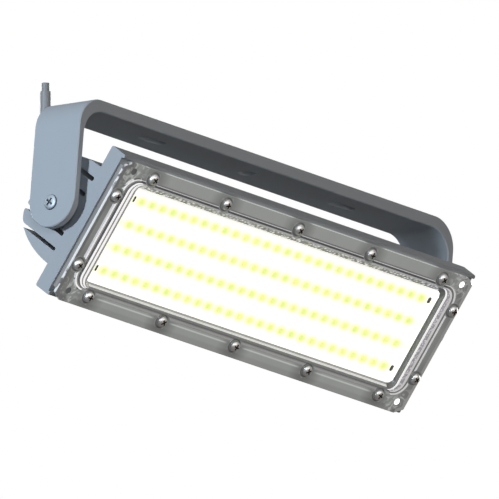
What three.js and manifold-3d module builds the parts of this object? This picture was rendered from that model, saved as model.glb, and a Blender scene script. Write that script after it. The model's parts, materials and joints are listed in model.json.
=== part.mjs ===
// LED flood light: a finned aluminium head that tilts inside a U-shaped bracket.
// Millimetres, +Z up. The origin is the middle of the bracket's top face, which is bolted
// to a ceiling, beam or arm. X runs along the head, and the light faces -Y, tilted down.

import * as THREE from 'three';
import { mergeVertices } from 'three/addons/utils/BufferGeometryUtils.js';
import Module from 'manifold-3d';

const wasm = await Module();
wasm.setup();

// Bracket: one bent and machined bar. Its arms stand clear of the head's ends by pivotGap.
const pivotGap = 5.7;
const bracketDepth = 34.4;
const armThickness = 4.5;
const crossbarThickness = 6.8;
const bracketOuterRadius = 17;
const bracketInnerRadius = 15;
const pivotDrop = 61.5;
const armEndDrop = 14.3;
const bracketChamfer = 0.6;
const fixingHoleDiameter = 10.5;
const fixingSlotLength = 20;
const fixingSlotWidth = 7;
const fixingSlotOffset = 81;

// Head: an extruded body with a front flange and fins behind it.
const headLength = 300;
const headHeight = 91;
const flangeThickness = 12.6;
const pivotToFlange = 10.6;
const tiltDegrees = 34;
const lipWidth = 2.2;
const lipHeight = 1.8;
const flangeCornerRadius = 1.2;
const lipCornerRadius = 0.7;
const finBlockHeight = 63;
const finDepth = 36.5;
const crownHeight = 26;
const ribHeight = 22.7;
const finThickness = 7.5;
const finGap = 2.7;
const finGapMouth = 1.6;

// Front pocket for the board, and the groove for the gasket round it. In this block and the
// next ones a margin lies between a feature and the end or long side of what carries it.
const pocketEndMargin = 12;
const pocketSideMargin = 13.2;
const pocketDepth = 3.8;
const pocketRadius = 5;
const grooveWall = 1.2;
const grooveWidth = 2.4;
const grooveDepth = 1.6;

// Lens cover: a clear moulding with a raised frame round its window.
const coverThickness = 4.2;
const coverEndInset = 1.2;
const coverCornerCutLength = 6;
const coverCornerCutHeight = 3.4;
const coverEdge = 0.7;
const windowEndMargin = 19.2;
const windowSideMargin = 15.6;
const windowRadius = 4;
const windowDepth = 2.1;
const frameEndWidth = 7;
const frameSideWidth = 4.65;
const frameHeight = 1.2;
const frameEdge = 0.5;
const coverRecessDepth = 0.6;
const coverRecessEndMargin = 2;
const coverRecessSideMargin = 1;

// Light board. Its margins are measured from the pocket.
const ledColumns = 28;
const ledRows = 4;
const ledEndMargin = 18.39;
const ledSideMargin = 9.875;
const ledSize = 3.5;
const ledHeight = 0.8;
const boardThickness = 1.6;
const boardSlotEndMargin = 11.1;
const boardSlotWidth = 1.6;
const boardSlotLength = 3.6;
const padThickness = 0.5;

// Screws that hold the lens cover, in rows along its long edges and in pairs at its ends.
const rowScrews = 5;
const rowScrewEndMargin = 26.2;
const rowScrewSideMargin = 7.3;
const endScrewEndMargin = 6.1;
const endScrewSideMargin = 23.15;
const cornerHoleDiameter = 4.6;
const cornerHoleDepth = 3;
const coverScrewDiameter = 3;
const coverScrewReach = 7;
const coverScrewHeadDiameter = 6.4;
const coverScrewHeadHeight = 2.6;

// Screws that hold the board. Their margins are measured from the pocket too.
const boardScrewEndMargin = 4.5;
const boardScrewSideMargin = 6.3;
const boardScrewDiameter = 2;
const boardScrewReach = 5;
const boardScrewHeadDiameter = 4;
const boardScrewHeadHeight = 1.3;

// Pivots, one at each end of the head.
const pivotScrewDiameter = 5;
const pivotScrewReach = 12;
const pivotScrewHeadDiameter = 9;
const pivotScrewHeadHeight = 1.9;
const pivotWasherDiameter = 15;

// Cable gland on the middle rib, and the lead that comes out of it.
const glandEndMargin = 41;
const glandFlats = 15;
const glandWasherThickness = 1.5;
const glandHexHeight = 5;
const glandSpigotDiameter = 12;
const glandSpigotLength = 8;
const glandNeckDiameter = 11;
const glandNeckLength = 5;
const glandNutHeight = 12.5;
const glandNutSkirt = 7;
const glandNutWall = 1.4;
const glandSealLength = 3.6;
const cableBore = 7;
const leadDiameter = 6.2;
const leadCoreDiameter = 4.5;
const leadCoreLength = 4.7;
const leadInGland = 12;
const wireDiameter = 1.8;
const wireSpacing = 2.8;

// The lead's route behind the bracket, from the gland's mouth to the end of its sheath.
// Each point is X measured from the gland, then Y and Z measured from the pivot.
const leadRoute = [
  [0, 43.9, 29.6],
  [-0.05, 47.3, 32.4],
  [-0.2, 50.2, 35.9],
  [-0.45, 52.5, 40],
  [-0.8, 53.9, 44.5],
  [-1.2, 54.5, 49.5],
  [-1.75, 54.6, 54.5],
  [-2.3, 54.6, 59.5],
  [-2.85, 54.6, 64.5],
  [-3.4, 54.6, 69.5],
  [-4, 54.6, 75.2],
  [-4.7, 54.6, 81.7],
];

// Clearances.
const seatGap = 0.3;
const boardGap = 0.5;
const threadGap = 0.2;
const boreGap = 0.3;
const overrun = 2;

// Where things lie in the head's own frame: the pivot is its origin and -Y its front.
const flangeRear = -pivotToFlange;
const headFront = flangeRear - flangeThickness;
const coverSeat = headFront + lipHeight;
const coverRear = coverSeat - seatGap;
const coverFront = coverRear - coverThickness;
const headRear = flangeRear + finDepth;
const pocketFloor = coverSeat + pocketDepth;
const padFront = pocketFloor - seatGap - padThickness;
const boardRear = padFront - seatGap;
const boardFront = boardRear - boardThickness;
const lipInner = headHeight / 2 - lipWidth;
const firstGap = (ribHeight + finGap) / 2;
const finGapCentres = [firstGap, firstGap + finThickness + finGap];

// What follows from the head's length and height.
const armInner = headLength / 2 + pivotGap;
const bracketWidth = 2 * (armInner + armThickness);
const pocketLength = headLength - 2 * pocketEndMargin;
const pocketHeight = headHeight - 2 * pocketSideMargin;
const windowLength = headLength - 2 * windowEndMargin;
const windowHeight = headHeight - 2 * windowSideMargin;
const ledPitch = (pocketLength - 2 * ledEndMargin) / (ledColumns - 1);
const ledRowPitch = (pocketHeight - 2 * ledSideMargin) / (ledRows - 1);
const rowScrewPitch = (headLength - 2 * rowScrewEndMargin) / (rowScrews - 1);
const screwRowSpacing = headHeight - 2 * rowScrewSideMargin;
const endScrewSpan = headLength - 2 * endScrewEndMargin;
const endScrewSpacing = headHeight - 2 * endScrewSideMargin;
const boardScrewSpan = pocketLength - 2 * boardScrewEndMargin;
const boardScrewSpacing = pocketHeight - 2 * boardScrewSideMargin;
const glandOffset = glandEndMargin - headLength / 2;

// Where the gland's pieces and the lead lie behind the rib.
const glandSeat = headRear + seatGap;
const glandBodySeat = glandSeat + glandWasherThickness + seatGap;
const glandNutSeat = glandBodySeat + glandHexHeight + seatGap;
const glandMouth = glandNutSeat + glandNutHeight;

// Finishes.
const paint = new THREE.MeshStandardMaterial({ color: 0x9eacbb, roughness: 0.5, metalness: 0.3 });
const clear = new THREE.MeshStandardMaterial({
  color: 0xc8cccd, roughness: 0.15, metalness: 0, transparent: true, opacity: 0.4,
});
const steel = new THREE.MeshStandardMaterial({ color: 0xb9bcbf, roughness: 0.3, metalness: 0.9 });
const board = new THREE.MeshStandardMaterial({ color: 0xf4f5ee, roughness: 0.5, metalness: 0 });
const rubber = new THREE.MeshStandardMaterial({ color: 0x2b2c2e, roughness: 0.8, metalness: 0 });
const nylon = new THREE.MeshStandardMaterial({ color: 0x6d7277, roughness: 0.6, metalness: 0 });
const sheath = new THREE.MeshStandardMaterial({ color: 0x82878d, roughness: 0.6, metalness: 0 });
const padGrey = new THREE.MeshStandardMaterial({ color: 0x8e9294, roughness: 0.8, metalness: 0 });
const redWire = new THREE.MeshStandardMaterial({ color: 0xa3242a, roughness: 0.6, metalness: 0 });
const blackWire = new THREE.MeshStandardMaterial({ color: 0x1f2022, roughness: 0.6, metalness: 0 });
for (const material of [paint, clear, steel, board, rubber, nylon, sheath, padGrey, redWire, blackWire]) {
  material.flatShading = true;
}

// Boolean cuts and joins.
function solid(geometry) {
  const bare = geometry.clone();
  bare.deleteAttribute('normal');
  bare.deleteAttribute('uv');
  const merged = mergeVertices(bare);
  return new wasm.Manifold(new wasm.Mesh({
    numProp: 3,
    vertProperties: new Float32Array(merged.attributes.position.array),
    triVerts: new Uint32Array(merged.index.array),
  }));
}

function geometryOf(body) {
  const mesh = body.getMesh();
  const geometry = new THREE.BufferGeometry();
  geometry.setAttribute('position', new THREE.BufferAttribute(new Float32Array(mesh.vertProperties), 3));
  geometry.setIndex(new THREE.BufferAttribute(new Uint32Array(mesh.triVerts), 1));
  return geometry;
}

const joined = (...bodies) => bodies.reduce((whole, body) => whole.add(body));
const cut = (body, ...tools) => tools.reduce((rest, tool) => rest.subtract(tool), body);

// Outlines. Each corner is [x, y, radius], with the radius left out where it is sharp.
function outline(corners, path = new THREE.Shape()) {
  const count = corners.length;
  corners.forEach(([x, y, radius = 0], index) => {
    const [beforeX, beforeY] = corners[(index + count - 1) % count];
    const [afterX, afterY] = corners[(index + 1) % count];
    const before = new THREE.Vector2(beforeX - x, beforeY - y).setLength(radius);
    const after = new THREE.Vector2(afterX - x, afterY - y).setLength(radius);
    if (index === 0) path.moveTo(x + before.x, y + before.y);
    else path.lineTo(x + before.x, y + before.y);
    if (radius > 0) {
      const turn = after.clone().add(before);
      const centre = new THREE.Vector2(x + turn.x, y + turn.y);
      const start = Math.atan2(-after.y, -after.x);
      const end = Math.atan2(-before.y, -before.x);
      path.absarc(centre.x, centre.y, radius, start, end, before.cross(after) > 0);
    }
  });
  path.closePath();
  return path;
}

function rectangle(width, height, radius = 0, path = new THREE.Shape()) {
  const [x, y] = [width / 2, height / 2];
  return outline([[-x, -y, radius], [x, -y, radius], [x, y, radius], [-x, y, radius]], path);
}

function roundEndedSlot(length, width) {
  const [reach, radius] = [(length - width) / 2, width / 2];
  const shape = new THREE.Shape();
  shape.absarc(reach, 0, radius, -Math.PI / 2, Math.PI / 2, false);
  shape.absarc(-reach, 0, radius, Math.PI / 2, Math.PI * 1.5, false);
  return shape;
}

function rectangularRing(width, height, thickness, radius) {
  const ring = rectangle(width + 2 * thickness, height + 2 * thickness, radius + thickness);
  ring.holes.push(rectangle(width, height, radius, new THREE.Path()));
  return ring;
}

// Extrusions. A chamfer is taken inside the outline and inside the depth.
function extrude(shape, depth, chamfer = 0, curveSegments = 5) {
  const geometry = new THREE.ExtrudeGeometry(shape, {
    depth: depth - 2 * chamfer,
    bevelEnabled: chamfer > 0,
    bevelThickness: chamfer,
    bevelSize: chamfer,
    bevelOffset: -chamfer,
    bevelSegments: 1,
    curveSegments,
  });
  return geometry.translate(0, 0, chamfer);
}

const xAxis = new THREE.Vector3(1, 0, 0);
const yAxis = new THREE.Vector3(0, 1, 0);
const zAxis = new THREE.Vector3(0, 0, 1);
const frontAxis = yAxis.clone().negate();
const alongX = new THREE.Matrix4().makeBasis(yAxis, zAxis, xAxis);
const towardsFront = new THREE.Matrix4().makeBasis(xAxis, zAxis, frontAxis);

// A profile in Y and Z, run along X and centred.
function barAlongX(profile, length, chamfer = 0, curveSegments = 5) {
  const geometry = extrude(profile, length, chamfer, curveSegments).applyMatrix4(alongX);
  return solid(geometry.translate(-length / 2, 0, 0));
}

// A profile in X and Z, run towards the front from the plane y = rear.
function plate(profile, rear, thickness, chamfer = 0, curveSegments = 5) {
  const geometry = extrude(profile, thickness, chamfer, curveSegments).applyMatrix4(towardsFront);
  return solid(geometry.translate(0, rear, 0));
}

// Round bodies whose axis is the head's front-to-back line. Profiles are [radius, y].
function turned(profile, sides = 24) {
  const points = profile.map(([radius, height]) => new THREE.Vector2(radius, height));
  return solid(new THREE.LatheGeometry(points, sides));
}

function rod(diameter, low, high, sides = 16) {
  const geometry = new THREE.CylinderGeometry(diameter / 2, diameter / 2, high - low, sides);
  return solid(geometry.translate(0, (low + high) / 2, 0));
}

function hexagon(flats, low, high) {
  const radius = flats / 2 / Math.cos(Math.PI / 6);
  const geometry = new THREE.CylinderGeometry(radius, radius, high - low, 6);
  return solid(geometry.translate(0, (low + high) / 2, 0));
}

const placed = (body, x, z) => body.translate([x, 0, z]);

// Bracket: the U is cut by its own side view, which rounds the ends of the arms.
function makeBracket() {
  const outerX = bracketWidth / 2;
  const armEnd = -(pivotDrop + armEndDrop);
  const u = outline([
    [-outerX, armEnd], [-armInner, armEnd],
    [-armInner, -crossbarThickness, bracketInnerRadius],
    [armInner, -crossbarThickness, bracketInnerRadius],
    [armInner, armEnd], [outerX, armEnd],
    [outerX, 0, bracketOuterRadius], [-outerX, 0, bracketOuterRadius],
  ]);
  const bent = solid(extrude(u, bracketDepth, bracketChamfer, 8).applyMatrix4(towardsFront)
    .translate(0, bracketDepth / 2, 0));
  const half = bracketDepth / 2;
  const side = new THREE.Shape();
  side.moveTo(half, overrun);
  side.lineTo(-half, overrun);
  side.lineTo(-half, armEnd + half);
  side.absarc(0, armEnd + half, half, Math.PI, 2 * Math.PI, false);
  side.closePath();
  const shaped = bent.intersect(barAlongX(side, bracketWidth, bracketChamfer, 20));

  const down = -crossbarThickness - overrun;
  const hole = rod(fixingHoleDiameter, down, overrun, 24).rotate([90, 0, 0]);
  const slotShape = roundEndedSlot(fixingSlotLength, fixingSlotWidth);
  const slot = solid(extrude(slotShape, overrun - down).translate(0, 0, down));
  const pivotHole = rod(pivotScrewDiameter + 2 * boreGap, -outerX - overrun, outerX + overrun, 24)
    .rotate([0, 0, 90]).translate([0, 0, -pivotDrop]);
  return cut(
    shaped, hole, pivotHole,
    slot.translate([fixingSlotOffset, 0, 0]), slot.translate([-fixingSlotOffset, 0, 0]),
  );
}

// How far back the fins reach at a height z: flat over the crown, then a quarter ellipse.
function finReach(z) {
  const share = Math.max(0, (Math.abs(z) - crownHeight / 2) / ((finBlockHeight - crownHeight) / 2));
  return flangeRear + finDepth * Math.sqrt(Math.max(0, 1 - share * share));
}

// One gap between fins, with a round bottom at the flange and a flared mouth.
function makeFinGap(centre) {
  const half = finGap / 2;
  const [low, high] = [centre - half, centre + half];
  const [lowMouth, highMouth] = [low - finGapMouth, high + finGapMouth];
  const beyond = headRear + overrun;
  const gap = new THREE.Shape();
  gap.moveTo(flangeRear + half, low);
  gap.lineTo(finReach(low) - finGapMouth, low);
  gap.quadraticCurveTo(finReach(low), low, finReach(lowMouth), lowMouth);
  gap.lineTo(beyond, lowMouth);
  gap.lineTo(beyond, highMouth);
  gap.lineTo(finReach(highMouth), highMouth);
  gap.quadraticCurveTo(finReach(high), high, finReach(high) - finGapMouth, high);
  gap.lineTo(flangeRear + half, high);
  gap.absarc(flangeRear + half, centre, half, Math.PI / 2, Math.PI * 1.5, false);
  return barAlongX(gap, headLength + 2 * overrun, 0, 4);
}

// Where the cover's screws go, in X and Z.
function coverScrewPlaces() {
  const places = [];
  for (const side of [1, -1]) {
    for (let index = 0; index < rowScrews; index += 1) {
      places.push([(index - (rowScrews - 1) / 2) * rowScrewPitch, (side * screwRowSpacing) / 2]);
    }
  }
  for (const end of [-1, 1]) {
    for (const side of [1, -1]) places.push([(end * endScrewSpan) / 2, (side * endScrewSpacing) / 2]);
  }
  return places;
}

const fourCorners = (width, height) => [[-1, 1], [1, 1], [-1, -1], [1, -1]]
  .map(([x, z]) => [(x * width) / 2, (z * height) / 2]);

// Heat sink: flange with two lips, fin block with its gaps, and everything cut into them.
function makeHeatSink() {
  const half = headHeight / 2;
  const flange = outline([
    [coverSeat, lipInner], [coverSeat, -lipInner],
    [headFront, -lipInner, lipCornerRadius], [headFront, -half, flangeCornerRadius],
    [flangeRear, -half, flangeCornerRadius], [flangeRear, half, flangeCornerRadius],
    [headFront, half, flangeCornerRadius], [headFront, lipInner, lipCornerRadius],
  ]);
  const block = new THREE.Shape();
  const [blockTop, crownTop] = [finBlockHeight / 2, crownHeight / 2];
  const fall = blockTop - crownTop;
  block.moveTo(pocketFloor, blockTop);
  block.lineTo(pocketFloor, -blockTop);
  block.lineTo(flangeRear, -blockTop);
  block.absellipse(flangeRear, -crownTop, finDepth, fall, Math.PI * 1.5, Math.PI * 2, false);
  block.absellipse(flangeRear, crownTop, finDepth, fall, 0, Math.PI / 2, false);
  block.closePath();
  const body = joined(barAlongX(flange, headLength, 0, 3), barAlongX(block, headLength, 0, 14));
  const gaps = finGapCentres.flatMap((centre) => [makeFinGap(centre), makeFinGap(-centre)]);

  const pocket = plate(
    rectangle(pocketLength, pocketHeight, pocketRadius), pocketFloor, pocketDepth + overrun,
  );
  const groove = plate(
    rectangularRing(pocketLength + 2 * grooveWall, pocketHeight + 2 * grooveWall, grooveWidth,
      pocketRadius + grooveWall),
    coverSeat + grooveDepth, grooveDepth + overrun,
  );
  const screwHole = rod(
    coverScrewDiameter + 2 * threadGap, coverSeat - overrun, coverSeat + coverScrewReach + overrun, 10,
  );
  const cornerHole = rod(cornerHoleDiameter, coverSeat - overrun, coverSeat + cornerHoleDepth, 12);
  const boardHole = rod(
    boardScrewDiameter + 2 * threadGap, pocketFloor - overrun, pocketFloor + boardScrewReach, 8,
  );
  const pivotReach = headLength / 2 - pivotScrewReach - overrun;
  const pivotHole = rod(pivotScrewDiameter + 2 * threadGap, pivotReach, headLength / 2 + overrun, 16);
  const cablePassage = rod(cableBore, pocketFloor - overrun, headRear + overrun, 16);
  const glandHole = rod(
    glandSpigotDiameter + 2 * threadGap, headRear - glandSpigotLength - overrun, headRear + overrun, 20,
  );
  return cut(
    body, ...gaps, pocket, groove,
    ...coverScrewPlaces().map(([x, z]) => placed(screwHole, x, z)),
    ...fourCorners(endScrewSpan, screwRowSpacing).map(([x, z]) => placed(cornerHole, x, z)),
    ...fourCorners(boardScrewSpan, boardScrewSpacing).map(([x, z]) => placed(boardHole, x, z)),
    pivotHole.rotate([0, 0, 90]), pivotHole.rotate([0, 0, -90]),
    placed(cablePassage, glandOffset, 0), placed(glandHole, glandOffset, 0),
  );
}

// Lens cover: a slab between the lips, its corners cut back. The window is sunk inside its raised
// frame, and a shallow recess clears the lights behind.
function makeLensCover() {
  const x = headLength / 2 - coverEndInset;
  const z = lipInner - seatGap;
  const cutX = x - coverCornerCutLength;
  const cutZ = z - coverCornerCutHeight;
  const slab = plate(outline([
    [-cutX, -z], [cutX, -z], [x, -cutZ], [x, cutZ], [cutX, z], [-cutX, z], [-x, cutZ], [-x, -cutZ],
  ]), coverRear, coverThickness, coverEdge);
  const frame = rectangle(
    windowLength + 2 * frameEndWidth, windowHeight + 2 * frameSideWidth, windowRadius + frameSideWidth,
  );
  frame.holes.push(rectangle(windowLength, windowHeight, windowRadius, new THREE.Path()));
  const window = plate(
    rectangle(windowLength, windowHeight, windowRadius),
    coverFront + windowDepth, windowDepth + overrun,
  );
  const frameRoot = frameEdge + seatGap;
  const ridge = plate(frame, coverFront + frameRoot, frameHeight + frameRoot, frameEdge);
  const recessLength = pocketLength - 2 * coverRecessEndMargin;
  const recessHeight = pocketHeight - 2 * coverRecessSideMargin;
  const recess = plate(
    rectangle(recessLength, recessHeight, pocketRadius),
    coverRear + overrun, coverRecessDepth + overrun,
  );
  const screwHole = rod(coverScrewDiameter + 2 * boreGap, coverFront - overrun, coverRear + overrun, 10);
  const cornerHole = rod(cornerHoleDiameter, coverFront - overrun, coverRear + overrun, 12);
  return cut(
    joined(slab, ridge), window, recess,
    ...coverScrewPlaces().map(([a, b]) => placed(screwHole, a, b)),
    ...fourCorners(endScrewSpan, screwRowSpacing).map(([a, b]) => placed(cornerHole, a, b)),
  );
}

// Gasket: a rubber ring in the groove.
function makeGasket() {
  const inner = grooveWall + seatGap;
  return plate(
    rectangularRing(pocketLength + 2 * inner, pocketHeight + 2 * inner, grooveWidth - 2 * seatGap,
      pocketRadius + inner),
    coverSeat + grooveDepth - seatGap, grooveDepth - seatGap,
  );
}

// Light board: rows of square chips on one sheet, with a slot near each corner.
function makeBoard() {
  const sheet = plate(
    rectangle(pocketLength - 2 * boardGap, pocketHeight - 2 * boardGap, pocketRadius - boardGap),
    boardRear, boardThickness,
  );
  const chip = plate(rectangle(ledSize, ledSize), boardFront + boardThickness / 2,
    ledHeight + boardThickness / 2);
  const chips = [];
  for (let row = 0; row < ledRows; row += 1) {
    for (let column = 0; column < ledColumns; column += 1) {
      const x = (column - (ledColumns - 1) / 2) * ledPitch;
      const z = (row - (ledRows - 1) / 2) * ledRowPitch;
      chips.push(placed(chip, x, z));
    }
  }
  const slot = plate(rectangle(boardSlotWidth, boardSlotLength), boardRear + overrun,
    boardThickness + 2 * overrun);
  const hole = rod(boardScrewDiameter + 2 * boreGap, boardFront - overrun, boardRear + overrun, 8);
  const slotSpan = pocketLength - 2 * boardSlotEndMargin;
  const rowSpan = (ledRows - 1) * ledRowPitch;
  return cut(
    joined(sheet, wasm.Manifold.union(chips)),
    ...fourCorners(slotSpan, rowSpan).map(([x, z]) => placed(slot, x, z)),
    ...fourCorners(boardScrewSpan, boardScrewSpacing).map(([x, z]) => placed(hole, x, z)),
  );
}

// Heat-conducting pad under the board, with a hole for the wires.
function makePad() {
  const sheet = plate(
    rectangle(pocketLength - 2 * boardGap, pocketHeight - 2 * boardGap, pocketRadius - boardGap),
    padFront + padThickness, padThickness,
  );
  const hole = rod(boardScrewDiameter + 2 * boreGap, padFront - overrun, padFront + overrun, 8);
  return cut(
    sheet, placed(rod(cableBore, padFront - overrun, padFront + overrun), glandOffset, 0),
    ...fourCorners(boardScrewSpan, boardScrewSpacing).map(([x, z]) => placed(hole, x, z)),
  );
}

// A pan-head screw with a cross recess. Its head rests on y = seat and points to the front.
const crossWidthShare = 0.17;
const crossSpanShare = 0.62;
const crossDepthShare = 0.45;
const panEdgeShare = 0.4;
const panShoulderShare = 0.8;
const panShoulderHeightShare = 0.82;
function makeScrew(seat, diameter, reach, headDiameter, headHeight, sides) {
  const [shank, head] = [diameter / 2, headDiameter / 2];
  const body = turned([
    [0, seat - headHeight],
    [head * panShoulderShare, seat - headHeight * panShoulderHeightShare],
    [head, seat - headHeight * panEdgeShare],
    [head, seat], [shank, seat], [shank, seat + reach], [0, seat + reach],
  ], sides);
  const span = headDiameter * crossSpanShare;
  const width = headDiameter * crossWidthShare;
  const depth = headHeight * crossDepthShare;
  const floor = seat - headHeight + depth;
  const arm = plate(rectangle(span, width), floor, depth + overrun);
  return cut(body, arm, arm.rotate([0, 90, 0]));
}

// Cable gland: a threaded body, a domed nut over its neck, and the seal that the nut squeezes.
function makeGlandBody() {
  const spigotEnd = glandBodySeat - glandSpigotLength - glandWasherThickness;
  const hexTop = glandBodySeat + glandHexHeight;
  const body = joined(
    rod(glandSpigotDiameter, spigotEnd, glandBodySeat + seatGap, 20),
    hexagon(glandFlats, glandBodySeat, hexTop),
    rod(glandNeckDiameter, hexTop - seatGap, hexTop + glandNeckLength, 20),
  );
  return cut(body, rod(cableBore, spigotEnd - overrun, hexTop + glandNeckLength + overrun));
}

const domeRadiusShare = 0.93;
const domeHeightShare = 0.45;
const domeShoulderRadiusShare = 0.76;
const domeShoulderHeightShare = 0.92;
function makeGlandNut() {
  const skirtTop = glandNutSeat + glandNutSkirt;
  const domeStart = glandFlats / 2;
  const domeHeight = glandNutHeight - glandNutSkirt;
  const mouth = leadDiameter / 2 + boreGap;
  const cavity = glandNeckDiameter / 2 + boreGap;
  const dome = turned([
    [0, glandNutSeat], [domeStart, glandNutSeat], [domeStart, skirtTop],
    [domeStart * domeRadiusShare, skirtTop + domeHeight * domeHeightShare],
    [domeStart * domeShoulderRadiusShare, skirtTop + domeHeight * domeShoulderHeightShare],
    [mouth + glandNutWall, glandMouth], [0, glandMouth],
  ]);
  const hollow = turned([
    [0, glandNutSeat - overrun], [cavity, glandNutSeat - overrun],
    [cavity, glandNutSeat + glandNeckLength + glandSealLength + seatGap],
    [mouth, glandMouth - glandNutWall], [mouth, glandMouth + overrun], [0, glandMouth + overrun],
  ]);
  return cut(joined(dome, hexagon(glandFlats, glandNutSeat, skirtTop)), hollow);
}

function makeGlandSeal() {
  const low = glandNutSeat + glandNeckLength + seatGap;
  const high = low + glandSealLength - seatGap;
  const bore = leadDiameter + 2 * boreGap;
  return cut(rod(glandNeckDiameter, low, high, 24), rod(bore, low - overrun, high + overrun));
}

// Pieces are collected in a group for the bracket and one for the head, turned to its tilt.
const floodLight = new THREE.Group();
const head = new THREE.Group();
head.position.set(0, 0, -pivotDrop);
head.rotation.x = THREE.MathUtils.degToRad(tiltDegrees);
floodLight.add(head);

function piece(name, geometry, material, parent = head) {
  const mesh = new THREE.Mesh(geometry, material);
  mesh.name = name;
  parent.add(mesh);
  return mesh;
}

piece('bracket', geometryOf(makeBracket()), paint, floodLight);
piece('heat_sink', geometryOf(makeHeatSink()), paint);
piece('lens_gasket', geometryOf(makeGasket()), rubber);
piece('thermal_pad', geometryOf(makePad()), padGrey);
piece('led_board', geometryOf(makeBoard()), board);
piece('lens_cover', geometryOf(makeLensCover()), clear);

const coverScrew = geometryOf(makeScrew(
  coverFront - seatGap, coverScrewDiameter, coverThickness + coverScrewReach,
  coverScrewHeadDiameter, coverScrewHeadHeight, 14,
));
coverScrewPlaces().forEach(([x, z], index) => {
  const name = `lens_screw_${String(index + 1).padStart(2, '0')}`;
  piece(name, coverScrew, steel).position.set(x, 0, z);
});

const boardScrew = geometryOf(makeScrew(
  boardFront - seatGap, boardScrewDiameter, boardScrewReach,
  boardScrewHeadDiameter, boardScrewHeadHeight, 10,
));
fourCorners(boardScrewSpan, boardScrewSpacing).forEach(([x, z], index) => {
  piece(`board_screw_${index + 1}`, boardScrew, steel).position.set(x, 0, z);
});

// The pivot screws pass through the arms and the friction washers into the head's ends.
const pivotReach = armThickness + pivotGap + pivotScrewReach;
const pivotScrew = geometryOf(makeScrew(
  -bracketWidth / 2 - seatGap, pivotScrewDiameter, pivotReach,
  pivotScrewHeadDiameter, pivotScrewHeadHeight, 20,
));
const pivotWasher = geometryOf(cut(
  rod(pivotWasherDiameter, -armInner + seatGap, -headLength / 2 - seatGap, 24),
  rod(pivotScrewDiameter + 2 * boreGap, -armInner - overrun, -headLength / 2 + overrun, 20),
));
for (const [side, turn] of [['left', -1], ['right', 1]]) {
  piece(`pivot_screw_${side}`, pivotScrew, steel).rotation.z = (turn * Math.PI) / -2;
  piece(`pivot_washer_${side}`, pivotWasher, nylon).rotation.z = (turn * Math.PI) / -2;
}

const glandWasherRear = glandSeat + glandWasherThickness;
const glandWasher = cut(
  rod(glandFlats, glandSeat, glandWasherRear, 20),
  rod(glandSpigotDiameter + 2 * boreGap, glandSeat - overrun, glandWasherRear + overrun, 20),
);
for (const [name, body, material] of [
  ['gland_washer', glandWasher, rubber],
  ['gland_body', makeGlandBody(), nylon],
  ['gland_seal', makeGlandSeal(), rubber],
  ['gland_nut', makeGlandNut(), nylon],
]) piece(name, geometryOf(body), material).position.x = glandOffset;

// The wires run from the lead's end inside the gland, through the rib, to the board's back.
const leadStart = glandMouth - leadInGland;
const wire = geometryOf(rod(wireDiameter, boardRear + seatGap, leadStart - seatGap, 8));
piece('wire_positive', wire, redWire).position.set(glandOffset, 0, wireSpacing / 2);
piece('wire_negative', wire, blackWire).position.set(glandOffset, 0, -wireSpacing / 2);

// Supply lead: straight out of the gland, then a bend up behind the bracket to its cut end.
// A full circle is divided into twice its curve segments.
function tube(points, diameter, sides, steps) {
  const curve = new THREE.CatmullRomCurve3(points, false, 'centripetal');
  const section = new THREE.Shape();
  section.absarc(0, 0, diameter / 2, 0, 2 * Math.PI, false);
  return new THREE.ExtrudeGeometry(section, {
    steps, extrudePath: curve, curveSegments: sides / 2, bevelEnabled: false,
  });
}

const tilt = THREE.MathUtils.degToRad(tiltDegrees);
const alongGland = (reach) => new THREE.Vector3(
  glandOffset, reach * Math.cos(tilt), reach * Math.sin(tilt) - pivotDrop,
);
const route = leadRoute.map(([x, y, z]) => new THREE.Vector3(glandOffset + x, y, z - pivotDrop));
const leadPoints = [alongGland(leadStart), alongGland(glandMouth), ...route];
piece('supply_lead', tube(leadPoints, leadDiameter, 12, 18), sheath, floodLight);

// The stripped end, where the sheath is cut back.
const lastRun = route.at(-1).clone().sub(route.at(-2)).normalize();
const corePoints = [seatGap, seatGap + leadCoreLength]
  .map((reach) => route.at(-1).clone().addScaledVector(lastRun, reach));
piece('lead_core', tube(corePoints, leadCoreDiameter, 10, 1), nylon, floodLight);

export default floodLight;
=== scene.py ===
import bpy
import bmesh
import json
import math
from collections import namedtuple
from mathutils import Matrix, Vector


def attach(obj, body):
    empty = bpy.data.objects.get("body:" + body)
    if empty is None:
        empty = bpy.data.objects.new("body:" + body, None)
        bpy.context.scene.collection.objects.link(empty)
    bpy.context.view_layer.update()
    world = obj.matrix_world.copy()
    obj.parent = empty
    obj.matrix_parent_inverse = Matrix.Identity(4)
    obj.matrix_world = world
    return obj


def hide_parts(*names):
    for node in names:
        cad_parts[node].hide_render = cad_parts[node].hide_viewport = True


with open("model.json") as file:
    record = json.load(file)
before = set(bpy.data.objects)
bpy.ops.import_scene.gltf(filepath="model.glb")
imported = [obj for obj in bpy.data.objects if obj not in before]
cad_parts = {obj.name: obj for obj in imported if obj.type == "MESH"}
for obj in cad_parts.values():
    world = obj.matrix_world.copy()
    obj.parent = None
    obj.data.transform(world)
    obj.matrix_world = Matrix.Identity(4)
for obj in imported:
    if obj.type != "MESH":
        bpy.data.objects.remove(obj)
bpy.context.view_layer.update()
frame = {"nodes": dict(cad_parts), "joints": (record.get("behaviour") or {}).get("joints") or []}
MM = 0.001


# Camera: a long lens, low and to the left of the light, rolled a little, as the photograph
# was taken. The point it aims at lies just beside the pivot axis that the head tilts on.
def added(name, data):
    """A new object of the scene, for a camera, a curve, a mesh or a lamp."""
    thing = bpy.data.objects.new(name, data)
    bpy.context.scene.collection.objects.link(thing)
    return thing


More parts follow.
